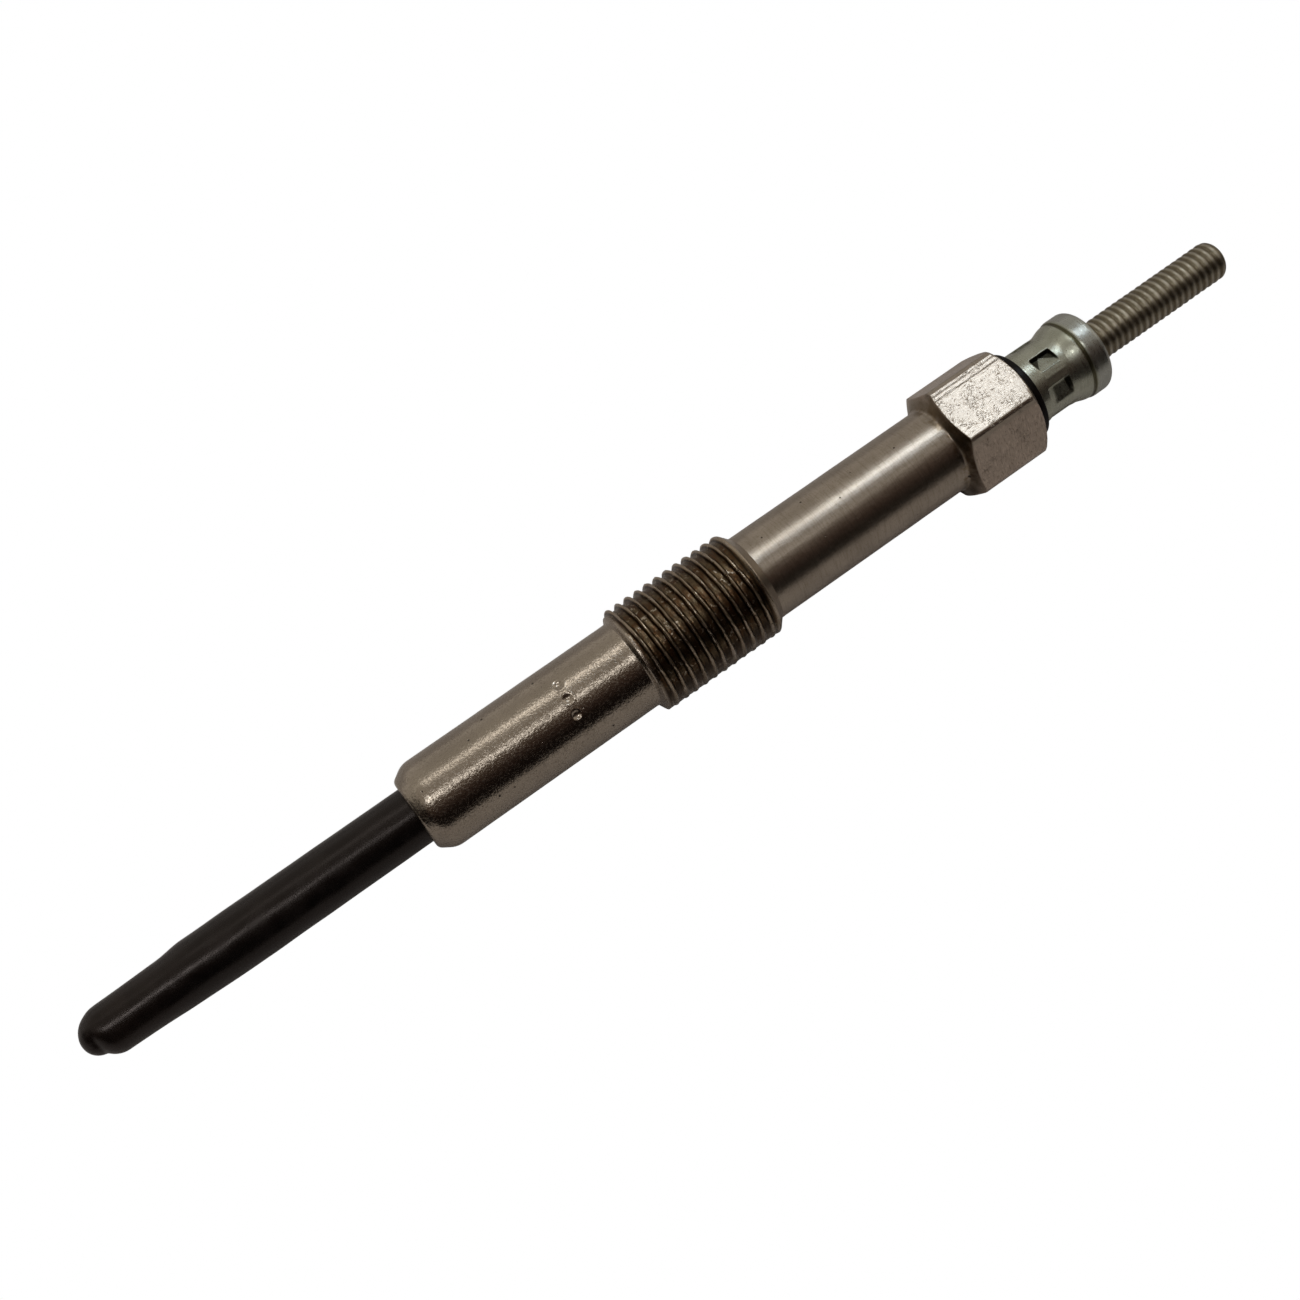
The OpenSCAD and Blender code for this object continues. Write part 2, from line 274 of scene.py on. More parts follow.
def hexagon(ang):
    """Radius of the hexagon's outline, with a flat bevel on one edge and narrow worn edges elsewhere."""
    sixth = math.pi / 3
    from_flat = (ang + sixth / 2) % sixth - sixth / 2
    flat = HEX_FLAT / np.cos(from_flat)
    from_edge = (ang % sixth) - sixth / 2
    number = np.floor((ang % TAU) / sixth).astype(int)
    bevel = np.array(EDGE_BEVEL)[number] / np.cos(from_edge)
    line_r = 5.2
    lines = sum(bell((ang - TAU + math.radians(deg)) * line_r, 0.06) for deg in SCORE_DEG)
    return soft_min(flat, bevel, 0.03) - 0.007 * lines


def dimples(z, ang):
    """Round punch marks in a row across the front shank, each with a faint raised rim, in mm of depth."""
    depth = 0.17
    rim = 0.022
    out = 0
    for station, deg, size in PUNCH_MARKS:
        d = np.hypot(z - station, R_FRONT * (ang - math.radians(deg))) / size
        pit = np.exp(-d ** 4 * 1.2) * (1 - 0.35 * d * d)
        out = out + depth * pit - rim * bell(d - 1.25, 0.22)
    return out


def housing_angles():
    """Angles of the rings, closer together at the hexagon's edges, the tool lines and the punch marks."""
    edges = [30 + 60 * k + d for k in range(6) for d in (-2.4, -1.4, -0.6, 0.6, 1.4, 2.4)]
    tool_lines = np.arange(326.4, 342.0, 0.5)
    punch_marks = np.arange(-19, 43, 2.0)
    degrees = np.concatenate([np.arange(0, 360, 2.5), edges, tool_lines, punch_marks]) % 360
    return np.radians(np.unique(np.round(degrees, 3)))


def seat_rows(ang):
    """Front face and conical seat with both its edges rounded."""
    front_edge = 0.6
    front_face = [(FRONT, R_PRESS_BORE), (FRONT, 2.7)]
    rows = front_face + arc(FRONT + front_edge, R_SEAT_EDGE, front_edge, -90, -SEAT_ANGLE, 9)
    for z in np.linspace(FRONT + 0.32, SEAT_EDGE, 5):
        cone = R_SEAT + (z - FRONT) * math.tan(math.radians(SEAT_ANGLE))
        rows.append((z, cone + ripple(z, ang, 23, 0.002)))
    back_edge = 2.0
    return rows + arc(SEAT_TOP, R_FRONT - back_edge, back_edge, -SEAT_ANGLE + 2, 0, 12)


def front_shank_rows(ang, signed):
    """Front shank with its punch marks."""
    before = np.linspace(SEAT_TOP + 0.4, 45.0, 13)
    marks = np.arange(45.2, 46.96, 0.07)
    behind = np.linspace(47.2, THREAD - 0.42, 8)
    rows = []
    for z in np.concatenate([before, marks, behind]):
        rows.append((z, R_FRONT + ripple(z, ang, 11, 0.004) - dimples(z, signed)))
    return rows


def body_thread_rows(ang, signed):
    """M10 x 1 thread, right-handed, with a lead-in cone and a run-out; its grooves are filled along its lower
    front side, which also carries dirt and painted shade for the material.
    """
    depth = 0.42
    wear = 0.024
    start_turn = 0.77
    filled_side = 1.92          # radians
    # grooves filled, and darkened with dirt and painted shade, round this side
    packed_and_shaded = bell(signed - filled_side, 0.62)
    rows = []
    for z in np.arange(THREAD - 0.36, THREAD_END + 0.36, 0.066):
        wobble = 0.02 * np.sin(5 * ang + 3 * z) + 0.014 * np.sin(17 * ang - 7 * z)
        turn = (z - THREAD) / BODY_PITCH - ang / TAU + start_turn + wobble
        fade = 1 - smooth(THREAD_END - 1.2, THREAD_END - 0.35, z + 0.08 * np.cos(ang))
        worn = 1 + 0.30 * np.sin(3 * ang + z * 2.1) + 0.22 * np.sin(8 * ang - z * 5.3)
        worn = worn + 0.2 * np.sin(19 * ang + z * 11)
        ridge = R_THREAD - wear * worn - depth * fade * (1 - 0.78 * packed_and_shaded) * ridge_depth(turn % 1)
        lead_in = R_FRONT + np.maximum(z - (THREAD - 0.2), 0) * 1.9
        run_out = R_REAR + np.maximum(THREAD_END + 0.22 - z, 0) * 1.1
        r = soft_min(soft_min(ridge, lead_in, 0.08), run_out, 0.08)
        shank = R_FRONT if z < THREAD_MIDDLE else R_REAR
        rows.append((z, soft_max(r, shank, 0.05), packed_and_shaded))
    return rows


def shoulder_rows(ang, hex_r):
    """Shoulder cone, chipped at its root and carried on through the corners of the hexagon."""
    chips = 0.5 + 0.9 * np.sin(4 * ang + 0.6) * np.sin(9 * ang + 2.0) + 0.4 * np.sin(23 * ang)
    chips = np.clip(chips, 0, 1)
    steep = 1.95 + 0.8 * np.cos(ang - math.radians(30))
    rows = []
    for z in np.linspace(SHOULDER - 0.4, HEX + 1.0, 64):
        cone = soft_max(R_REAR + (z - SHOULDER) * steep, R_REAR, 0.45)
        rim = 0.04 * chips * bell(z - SHOULDER - 0.08, 0.09)
        cone = cone + rim + 0.006 * np.sin(5 * ang + 9 * z)
        dirty = np.clip((hex_r - cone) / 0.12, 0, 1) * smooth(SHOULDER - 0.1, SHOULDER + 0.08, z)
        rows.append((z, soft_min(cone, hex_r, 0.07), dirty))
    return rows


def hexagon_rows(hex_r):
    """Flats of the hexagon and the chamfer at its top, softer at the corners."""
    rows = [(z, hex_r) for z in np.linspace(HEX + 1.1, HEX_TOP - 1.0, 12)]
    rounding = 0.05 + 0.3 * smooth(5.25, 5.6, hex_r)
    for z in np.linspace(HEX_TOP - 0.9, HEX_TOP - 0.03, 26):
        chamfer = R_HEX_TOP + (HEX_TOP - z) / math.tan(math.radians(30))
        rows.append((z, soft_min(hex_r, chamfer, rounding)))
    return rows


def build_housing():
    """Turned body: seat, front shank, thread, rear shank, hexagon, then back through the pocket and bore."""
    ang = housing_angles()
    signed = (ang + math.pi) % TAU - math.pi
    hex_r = hexagon(ang)
    rows = seat_rows(ang) + front_shank_rows(ang, signed) + body_thread_rows(ang, signed)
    for z in np.linspace(THREAD_END + 0.75, SHOULDER - 0.7, 20):
        rows.append((z, R_REAR + ripple(z, ang, 17, 0.004)))
    rows += shoulder_rows(ang, hex_r) + hexagon_rows(hex_r)
    top_face = [(HEX_TOP, 4.5), (HEX_TOP, 3.9)]
    pocket = [(HEX_TOP, R_POCKET), (POCKET, R_POCKET)]
    bore = [(POCKET, R_BORE), (PRESSED_END, R_BORE), (PRESSED_END, R_PRESS_BORE)]
    return lathe("housing_body", rows + top_face + pocket + bore, ang, sharp=38, loop=True)


# Bush

def build_bush():
    """Black ring with rounded edges and a neck in the hexagon's pocket; its rim is slightly out of round."""
    ang = full_turn(192)
    edge = 0.2
    edge_middle = 4.05
    rows = [(BUSH, R_BUSH_BORE), (BUSH, 3.2), (BUSH + 0.09, 3.38), (HEX_TOP - 0.01, R_BUSH_NECK)]
    rows += [(HEX_TOP, 3.9), (HEX_TOP, edge_middle)]
    rows += arc(HEX_TOP + edge, edge_middle, edge, -80, 0, 7)
    rows += arc(NUT - edge, edge_middle, edge, 0, 90, 9)
    rows += [(NUT, 3.6), (NUT, R_BUSH_BORE)]
    uneven = 0.012 * np.sin(2 * ang + 0.7) + 0.006 * np.sin(5 * ang)
    rows = [(z, r + (uneven if r > 4.0 else 0)) for z, r in rows]
    return lathe("bush", rows, ang, sharp=50, loop=True)


# Round nut

@dataclass
class Dent:
    """One crimp dent of the round nut: mm from its middle, and degrees. The defaults are a common dent."""
    floor: float = 3.0               # axis to the flat floor
    lean: float = 20                 # lean of the floor round the axis
    front: tuple = (-1.18, -0.80)    # slope of the end toward the tip
    back: tuple = (0.94, 1.06)       # slope of the end toward the stud
    shallow: tuple = (0.92, 1.12)    # slope of the shallow side
    end_wall_shade: float = 0.70           # dirt and painted shade on the end wall begin here
    side_dirt_and_shade: float = 1.0           # strength of the dirt and painted shade on the deep side
    dark: float = 1.0                # strength of the dirt and painted shade on the walls
    floor_shade: float = 0.3                # strength of the painted shade and dirt on the floor


DENTS = (
    Dent(),
    Dent(floor=3.14, lean=10, front=(-1.5, -0.6), shallow=(0.3, 1.2), end_wall_shade=0.5, side_dirt_and_shade=0.0, floor_shade=0.12),
    Dent(floor=2.86, front=(-1.5, -0.6), back=(0.8, 1.6)),
    Dent(),
    Dent(),
    Dent(),
    Dent(floor=3.2, dark=0.8),
)
FIRST_DENT = 6             # degrees from straight up
DENT_STATION = NUT + 2.5


def nut_profile(z):
    """Outside of the nut without its dents: barrel, groove, flange with a rounded foot and top."""
    waist = 0.05 * smooth(NUT + 0.35, NUT + 1.95, z)
    flare = 0.36 * smooth(GROOVE - 1.63, GROOVE - 0.13, z)
    barrel = R_NUT - waist + flare
    if z < NUT + NUT_EDGE:
        foot = math.sqrt(max(NUT_EDGE ** 2 - (NUT + NUT_EDGE - z) ** 2, 0))
        barrel = min(barrel, R_NUT - NUT_EDGE + foot)
    if z < GROOVE - 0.63:
        return barrel
    flange = 0.0
    if z > FLANGE - FLANGE_EDGE + 0.01:
        flange = R_FLANGE - FLANGE_EDGE + math.sqrt(FLANGE_EDGE ** 2 - max(FLANGE - z, 0) ** 2)
    top_height = 0.5
    over = max(z - (NUT_TOP - top_height), 0) / top_height
    top = 3.5 + 0.4 * math.sqrt(max(1 - over ** 2, 0))
    groove = 0.05 * bell(z - GROOVE, 0.08)
    barrel = barrel * (1 - smooth(GROOVE + 0.02, GROOVE + 0.17, z))
    return max(barrel, min(flange, top)) - groove


def press_dent(number, z, ang, r, stain_and_shade):
    """Radius of one ring of the nut after one more dent, deepest at its upper side, and the dirt and painted
    shade that the dent adds.
    """
    dent = DENTS[number]
    middle = math.radians(FIRST_DENT + 360 / len(DENTS) * number)
    turn = (ang - middle + math.pi) % TAU - math.pi
    near = np.abs(turn) < 0.44
    turn = np.clip(turn, -0.6, 0.6)
    y = R_NUT * np.sin(turn)
    skew = 0.12 * math.sin(2.4 * number + 0.6)
    along = z - DENT_STATION - skew * y
    floor = dent.floor / np.cos(turn + math.radians(dent.lean))

    # pressed area, and how far the floor lies under the barrel there
    across = smooth(-1.14, -0.90, y) * (1 - smooth(*dent.shallow, y))
    mask = across * smooth(*dent.front, along) * (1 - smooth(*dent.back, along))
    deep = np.where(near, np.clip((r - floor) / 0.22, 0, 1), 0)
    lip = np.where(near & (y > 0), bell(r - floor, 0.07), 0)
    r = np.where(near, r * (1 - mask) + np.minimum(floor, r) * mask, r)

    # painted shade and dirt on the deep side, narrow in its middle, on the end wall, on the floor and along
    # the shallow lip
    box = smooth(-1.12, -0.9, along) * (1 - smooth(1.02, 1.12, along))
    box = box * (1 - smooth(0.9, 1.05, y)) * smooth(-1.16, -1.06, y)
    tie = np.clip((np.abs(along + 0.1) - 0.06) / 0.85, 0, 1) * np.where(along < -0.1, 1.4, 1.0)
    deep_side = 1 - smooth(-1.02 + 0.85 * tie, -0.95 + 0.9 * tie, y)
    end_wall_shade = smooth(dent.end_wall_shade, dent.end_wall_shade + 0.12, along - 0.11 * (y + 0.9))
    walls = np.maximum(deep_side * dent.side_dirt_and_shade, end_wall_shade)
    stain_and_shade = np.maximum(stain_and_shade, box * walls * deep * dent.dark)
    stain_and_shade = np.maximum(stain_and_shade, dent.floor_shade * mask * deep)
    stain_and_shade = np.maximum(stain_and_shade, 0.55 * mask * lip)

    # metal pushed up beside the dent
    rim = bell(np.abs(y) - 1.2, 0.14) * smooth(-1.2, -0.9, along) * (1 - smooth(0.9, 1.2, along))
    return r + np.where(near, 0.015 * rim, 0), stain_and_shade


def build_nut():
    """Round nut with a flange and a ring of crimp dents, open through its middle."""
    ang = full_turn(432)
    rows = [(NUT, R_NUT_BORE), (NUT, 3.1), (NUT + 0.005, 3.28)]
    top_face = [(NUT_TOP, 3.45), (NUT_TOP, 2.6)]
    countersink = [(NUT_TOP - 0.06, 2.15), (NUT_TOP - 0.3, 1.96), (NUT_TOP - 0.4, R_NUT_BORE)]
    stations = np.concatenate([
        np.linspace(NUT + 0.03, NUT + 0.9, 12),
        np.arange(95.2, 98.5, 0.045),
        np.linspace(98.52, 99.5, 16),
        np.linspace(99.54, 100.4, 24),
        np.linspace(100.5, NUT_TOP - 0.42, 8),
        np.linspace(NUT_TOP - 0.38, NUT_TOP - 0.005, 9),
    ])
    for z in stations:
        r = np.full_like(ang, nut_profile(z))
        stain_and_shade = np.zeros_like(ang)
        for number in range(len(DENTS)):
            r, stain_and_shade = press_dent(number, z, ang, r, stain_and_shade)
        rows.append((z, r + ripple(z, ang, 5, 0.005), stain_and_shade))
    return lathe("round_nut_body", rows + top_face + countersink, ang, sharp=48, loop=True)


# Centre electrode

def stud_rows(ang):
    """M4 thread, worn, with a rounded end."""
    depth = 0.14
    wear = 0.012
    start_turn = 0.35
    end_flat = 1.0
    end_round = LENGTH - STUD_ROUND
    threaded = np.arange(NUT_TOP - 0.5, STUD_ROUND, 0.047)
    rounded = STUD_ROUND + 0.89 * np.sin(np.linspace(0, 1.5, 26))
    rows = []
    for z in np.concatenate([threaded, rounded]):
        turn = (z - NUT_TOP) / STUD_PITCH - ang / TAU + start_turn
        worn = 1 + 0.4 * np.sin(2 * ang + z * 1.3) + 0.3 * np.sin(7 * ang + z * 7)
        fade = 1 - 0.8 * smooth(STUD_ROUND, LENGTH - 0.25, z)
        r = R_STUD - wear * worn - depth * fade * thread_depth(turn % 1, 0.25)
        limit = end_flat + math.sqrt(max(end_round ** 2 - max(z - STUD_ROUND, 0) ** 2, 0))
        r = soft_min(r, limit, 0.08)
        if z < NUT_TOP:
            r = np.minimum(r, R_ROD)
        rows.append((z, r))
    return rows + [(LENGTH - 0.004, 0.95), (LENGTH - 0.001, 0.6), (LENGTH, 0)]


def build_electrode():
    """Rod with a spigot for the coil at its front end and the threaded stud at the other."""
    spigot = 0.7
    slim = 1.45
    ang = full_turn(112)
    rows = [(ROD_START, 0), (ROD_START, spigot), (SPIGOT_END, spigot), (SPIGOT_END, slim)]
    rows += [(50.6, slim), (51.2, R_ROD), (86.0, R_ROD), (NUT_TOP - 0.55, R_ROD)]
    return lathe("terminal_rod", rows + stud_rows(ang), ang, sharp=60)


# Material tools

class Build:
    """Short helpers that add nodes to one tree; a plain number or tuple becomes a socket's own value."""

    def __init__(self, tree):
        self.tree = tree
        self.places = None

    def put(self, socket, value):
        """Links a node's output to the socket, or sets a plain value on it."""
        if isinstance(value, bpy.types.NodeSocket):
            self.tree.links.new(value, socket)
        else:
            socket.default_value = value

    def math(self, op, a, b=0.0, c=0.0, clamp=False):
        """One Math node."""
        n = self.tree.nodes.new("ShaderNodeMath")
        n.operation = op
        n.use_clamp = clamp
        for socket, value in zip(n.inputs, (a, b, c)):
            self.put(socket, value)
        return n.outputs[0]

    def chain(self, op, values):
        """The same operation over two or more values in turn."""
        out = values[0]
        for value in values[1:]:
            out = self.math(op, out, value)
        return out

    def times(self, *values):
        """Product of the values."""
        return self.chain("MULTIPLY", values)

    def plus(self, *values):
        """Sum of the values."""
        return self.chain("ADD", values)

    def most(self, *values):
        """Highest of the values."""
        return self.chain("MAXIMUM", values)

    def line(self, value, factor, offset):
        """Value times factor plus offset."""
        return self.math("MULTIPLY_ADD", value, factor, offset)

    def vector(self, op, a, b):
        """One Vector Math node with two inputs."""
        n = self.tree.nodes.new("ShaderNodeVectorMath")
        n.operation = op
        self.put(n.inputs[0], a)
        self.put(n.inputs["Scale"] if op == "SCALE" else n.inputs[1], b)
        return n.outputs["Value"] if op == "DISTANCE" else n.outputs[0]

    def mm(self):
        """Object coordinates in mm as a vector, then the station and the two offsets from the axis."""
        if self.places is None:
            coordinates = self.tree.nodes.new("ShaderNodeTexCoord")
            scaled = self.tree.nodes.new("ShaderNodeVectorMath")
            scaled.operation = "MULTIPLY_ADD"
            self.put(scaled.inputs[0], coordinates.outputs["Object"])
            scaled.inputs[1].default_value = (1 / MM, 1 / MM, 1 / MM)
            scaled.inputs[2].default_value = (LENGTH / 2, 0, -AXIS_H)
            split = self.tree.nodes.new("ShaderNodeSeparateXYZ")
            self.put(split.inputs[0], scaled.outputs[0])
            self.places = (scaled.outputs[0], *split.outputs)
        return self.places

    def radius(self):
        """Distance from the plug's axis in mm."""
        _, _, y, z = self.mm()
        return self.math("SQRT", self.plus(self.times(y, y), self.times(z, z)))

    def stain_and_shade(self):
        """Darkening that the mesh carries: stain under its hexagon, and dirt with painted shade in its thread
        and in its dents.
        """
        n = self.tree.nodes.new("ShaderNodeAttribute")
        n.attribute_name = "stain_and_shade"
        return n.outputs["Fac"]

    def spot(self, z, deg, r, lo, hi):
        """1 within lo mm of a place on the surface, given by station, angle and radius; 0 beyond hi mm."""
        a = math.radians(deg)
        place = (z, -r * math.sin(a), r * math.cos(a))
        return self.span(self.vector("DISTANCE", self.mm()[0], place), lo, hi, 1.0, 0.0)

    def stretch(self, along, across):
        """Coordinates for a texture that is finer or coarser along the axis than across it."""
        return self.vector("MULTIPLY", self.mm()[0], (along, across, across))

    def noise(self, scale, detail=4.0, rough=0.55, vec=None, distort=0.0):
        """Cloudy noise from 0 to 1."""
        n = self.tree.nodes.new("ShaderNodeTexNoise")
        n.inputs["Scale"].default_value = scale
        n.inputs["Detail"].default_value = detail
        n.inputs["Roughness"].default_value = rough
        n.inputs["Distortion"].default_value = distort
        self.put(n.inputs["Vector"], vec or self.mm()[0])
        return n.outputs["Fac"]

    def cells(self, scale, vec=None):
        """Distance to the nearest of many scattered points."""
        n = self.tree.nodes.new("ShaderNodeTexVoronoi")
        n.inputs["Scale"].default_value = scale
        self.put(n.inputs["Vector"], vec or self.mm()[0])
        return n.outputs["Distance"]

    def span(self, value, lo, hi, to_lo=0.0, to_hi=1.0):
        """Soft step from to_lo, below lo, to to_hi, above hi."""
        n = self.tree.nodes.new("ShaderNodeMapRange")
        n.interpolation_type = "SMOOTHSTEP"
        self.put(n.inputs[0], value)
        for socket, limit in zip(list(n.inputs)[1:5], (lo, hi, to_lo, to_hi)):
            socket.default_value = limit
        return n.outputs[0]

    def band(self, value, lo, hi, soft):
        """1 between lo and hi, fading over soft on both sides."""
        rise = self.span(value, lo - soft, lo + soft)
        return self.times(rise, self.span(value, hi - soft, hi + soft, 1.0, 0.0))

    def mix(self, share, a, b):
        """Colour a, going over to b with the share."""
        n = self.tree.nodes.new("ShaderNodeMix")
        n.data_type = "RGBA"
        self.put(n.inputs[0], share)
        self.put(n.inputs[6], a if isinstance(a, bpy.types.NodeSocket) else (*a, 1))
        self.put(n.inputs[7], b if isinstance(b, bpy.types.NodeSocket) else (*b, 1))
        return n.outputs[2]

    def ramp(self, value, stops):
        """Colour over a value from 0 to 1, from stops of (place, red, green, blue)."""
        n = self.tree.nodes.new("ShaderNodeValToRGB")
        items = n.color_ramp.elements
        items.remove(items[1])
        items[0].position = stops[0][0]
        items[0].color = (*stops[0][1:], 1)
        for place, *rgb in stops[1:]:
            items.new(place).color = (*rgb, 1)
        self.put(n.inputs[0], value)
        return n.outputs[0]

    def bump(self, height, strength, distance, normal=None):
        """Normal that is tilted by a height, over a distance in mm."""
        n = self.tree.nodes.new("ShaderNodeBump")
        n.inputs["Strength"].default_value = strength
        n.inputs["Distance"].default_value = distance * MM
        self.put(n.inputs["Height"], height)
        if normal is not None:
            self.put(n.inputs["Normal"], normal)
        return n.outputs[0]


def new_material(name):
    """Empty material with one Principled shader, its node helpers and the shader's sockets."""
    mat = bpy.data.materials.new(name)
    mat.use_nodes = True
    tree = mat.node_tree
    tree.nodes.clear()
    out = tree.nodes.new("ShaderNodeOutputMaterial")
    bsdf = tree.nodes.new("ShaderNodeBsdfPrincipled")
    tree.links.new(bsdf.outputs[0], out.inputs[0])
    return mat, Build(tree), bsdf.inputs


# Nickel plate of the housing

def plate_colour(b, zone, grain):
    """Clouded plate with dark speckles, matt points on the front shank and turning marks on the rear one."""
    x = b.mm()[1]
    cloud = b.noise(0.35, 4, 0.6)
    colour = b.mix(b.span(cloud, 0.35, 0.68), (0.37, 0.318, 0.262), (0.425, 0.367, 0.303))
    fewer_on_hex = b.span(x, HEX - 0.2, HEX + 0.2, 1.0, 0.25)
    speckle = b.times(b.span(grain.fine, 0.48, 0.72, 0.0, 0.42), fewer_on_hex)
    colour = b.mix(speckle, colour, (0.25, 0.21, 0.165))
    matt = b.times(zone.front, b.span(grain.pebble, 0.48, 0.66, 0.0, 0.28))
    colour = b.mix(matt, colour, (0.235, 0.197, 0.155))
    rear_shank = b.math("SUBTRACT", zone.rear, zone.hexagon)
    turning_marks = b.times(b.span(grain.brushed, 0.45, 0.7, 0.0, 0.4), rear_shank)
    return b.mix(turning_marks, colour, (0.23, 0.19, 0.145))


def rubbed_crests(b, crest):
    """Short bright lines where the crests of the thread are rubbed bare."""
    streaks = b.span(b.noise(1.0, 3, 0.65, b.stretch(6.0, 0.7)), 0.47, 0.58)
    return b.times(streaks, crest, b.span(b.noise(0.8, 3, 0.6), 0.38, 0.55))


def thread_colour(b, crest):
    """Brown tarnish with pale flakes and crests; dirt and painted shade darken the roots and the lower front
    side.
    """
    rust = b.mix(b.span(b.noise(1.1, 4, 0.6), 0.42, 0.6), (0.115, 0.082, 0.047), (0.085, 0.045, 0.021))
    rust = b.mix(b.span(b.noise(3.6, 3, 0.6), 0.45, 0.65, 0.0, 0.65), rust, (0.07, 0.05, 0.032))
    flakes = b.times(b.span(b.noise(2.6, 3, 0.6), 0.58, 0.66), b.span(b.noise(0.6, 2), 0.42, 0.58))
    rust = b.mix(flakes, rust, (0.42, 0.36, 0.28))
    rust = b.mix(b.times(crest, 0.85), rust, (0.46, 0.375, 0.275))
    # dark line at the foot of each ridge: dirt and painted shade in the roots
    root = b.band(b.radius(), R_THREAD - 0.35, R_THREAD - 0.26, 0.03)
    rust = b.mix(b.times(root, 0.9), rust, (0.022, 0.015, 0.01))
    # darker along the lower front side: dirt and painted shade
    packed_and_shaded = b.times(b.stain_and_shade(), b.line(crest, -0.15, 0.95))
    return b.mix(packed_and_shaded, rust, (0.045, 0.032, 0.022))


def stain_shoulder(b, colour):
    """Brown stain on the cone under the hexagon, and a patchy halo on the shank before it."""
    _, x, y, _ = b.mm()
    under = b.times(b.stain_and_shade(), b.span(x, SHOULDER - 0.62, SHOULDER - 0.42))
    stain_and_shade = b.times(under, b.span(b.noise(0.8, 3), 0.3, 0.65, 0.55, 1.0))
    brown = b.mix(b.span(y, -2.0, 2.5), (0.08, 0.052, 0.027), (0.165, 0.122, 0.075))
    colour = b.mix(stain_and_shade, colour, brown)
    patches = b.span(b.noise(1.3, 3), 0.42, 0.62, 0.0, 0.7)
    halo = b.times(b.band(x, SHOULDER - 0.67, SHOULDER + 0.08, 0.3), patches)
    return b.mix(halo, colour, (0.19, 0.138, 0.08))


def scribble_sides(b, zone, colour):
    """Side faces of the hexagon, paler and scribbled across in light and dark."""
    z = b.mm()[3]
    beside = b.times(zone.hexagon, b.span(z, HEX_FLAT - 0.8, HEX_FLAT - 0.4, 1.0, 0.0))
    scrawl = b.noise(1.0, 3, 0.65, b.stretch(8.0, 2.0), 0.7)
    colour = b.mix(b.times(beside, 0.35), colour, (0.62, 0.5, 0.42))
    colour = b.mix(b.times(beside, b.span(scrawl, 0.55, 0.64, 0.0, 0.4)), colour, (0.72, 0.6, 0.5))
    return b.mix(b.times(beside, b.span(scrawl, 0.36, 0.46, 0.5, 0.0)), colour, (0.2, 0.155, 0.12))


def plate_pits(b):
    """Small round pits: scattered ones, and single ones by station and angle."""
    places = ((44.65, -34.8), (39.6, -33.3), (48.1, 73.2), (71.75, -28.3), (37.3, 60.0), (58.0, 52.0))
    pits = b.times(b.span(b.cells(0.75), 0.045, 0.09, 1.0, 0.0), b.span(b.noise(0.5, 2), 0.5, 0.6))
    pits = b.most(pits, *(b.spot(*place, R_FRONT, 0.06, 0.14) for place in places))
    beside_shoulder = b.spot(85.4, 75.2, 4.1, 0.08, 0.2)
    return b.most(pits, beside_shoulder)


def tool_line(b, deg):
    """Broken line along the top flat of the hexagon."""
    _, _, y, z = b.mm()
    middle = HEX_FLAT * math.tan(math.radians(deg))
    broken = b.span(b.noise(1.0, 2, 0.5, b.stretch(0.9, 3.0)), 0.38, 0.62, 0.05, 0.35)
    on_top = b.span(z, HEX_FLAT - 0.2, HEX_FLAT - 0.1)
    return b.times(b.band(y, middle - 0.04, middle + 0.04, 0.05), on_top, broken)


def hexagon_marks(b, zone):
    """Nicks, curly hairlines, scratches and tool lines on the hexagon."""
    nicks = b.span(b.cells(3.4, b.stretch(0.6, 1.2)), 0.06, 0.14, 0.75, 0.0)
    nicks = b.times(nicks, b.span(b.noise(0.9, 3), 0.46, 0.6))
    curl = b.math("ABSOLUTE", b.math("SUBTRACT", b.noise(2.9, 2, 0.6, None, 0.8), 0.5))
    curl = b.times(b.span(curl, 0.004, 0.024, 0.5, 0.0), b.span(b.noise(0.7, 2), 0.46, 0.62))
    scratch = b.span(b.noise(1.0, 3, 0.6, b.stretch(1.3, 6.0), 0.6), 0.63, 0.69)
    marks = b.most(nicks, curl, b.times(scratch, 0.25), *(tool_line(b, deg) for deg in SCORE_DEG))
    return b.times(marks, zone.hexagon)


def plate_dirt(b, zone):
    """All dark points and lines of the plate, thickest on the hexagon."""
    specks = b.times(b.span(b.cells(3.1), 0.06, 0.13, 1.0, 0.0), b.span(b.noise(1.3, 3), 0.52, 0.66))
    return b.most(plate_pits(b), b.times(specks, 0.6), hexagon_marks(b, zone))


def plate_roughness(b, zone, grain, rub, dirt):
    """Glossy points among matt ones on the front shank, smoother rubbed crests and duller dirt."""
    rough = b.span(grain.soft, 0.3, 0.8, 0.276, 0.305)
    points = b.times(zone.front, b.span(grain.pebble, 0.46, 0.65, -0.11, 0.015))
    rubbed = b.times(zone.thread, b.line(rub, -0.1, 0.02))
    return b.math("ADD", b.plus(rough, points, rubbed), b.times(dirt, 0.25), clamp=True)


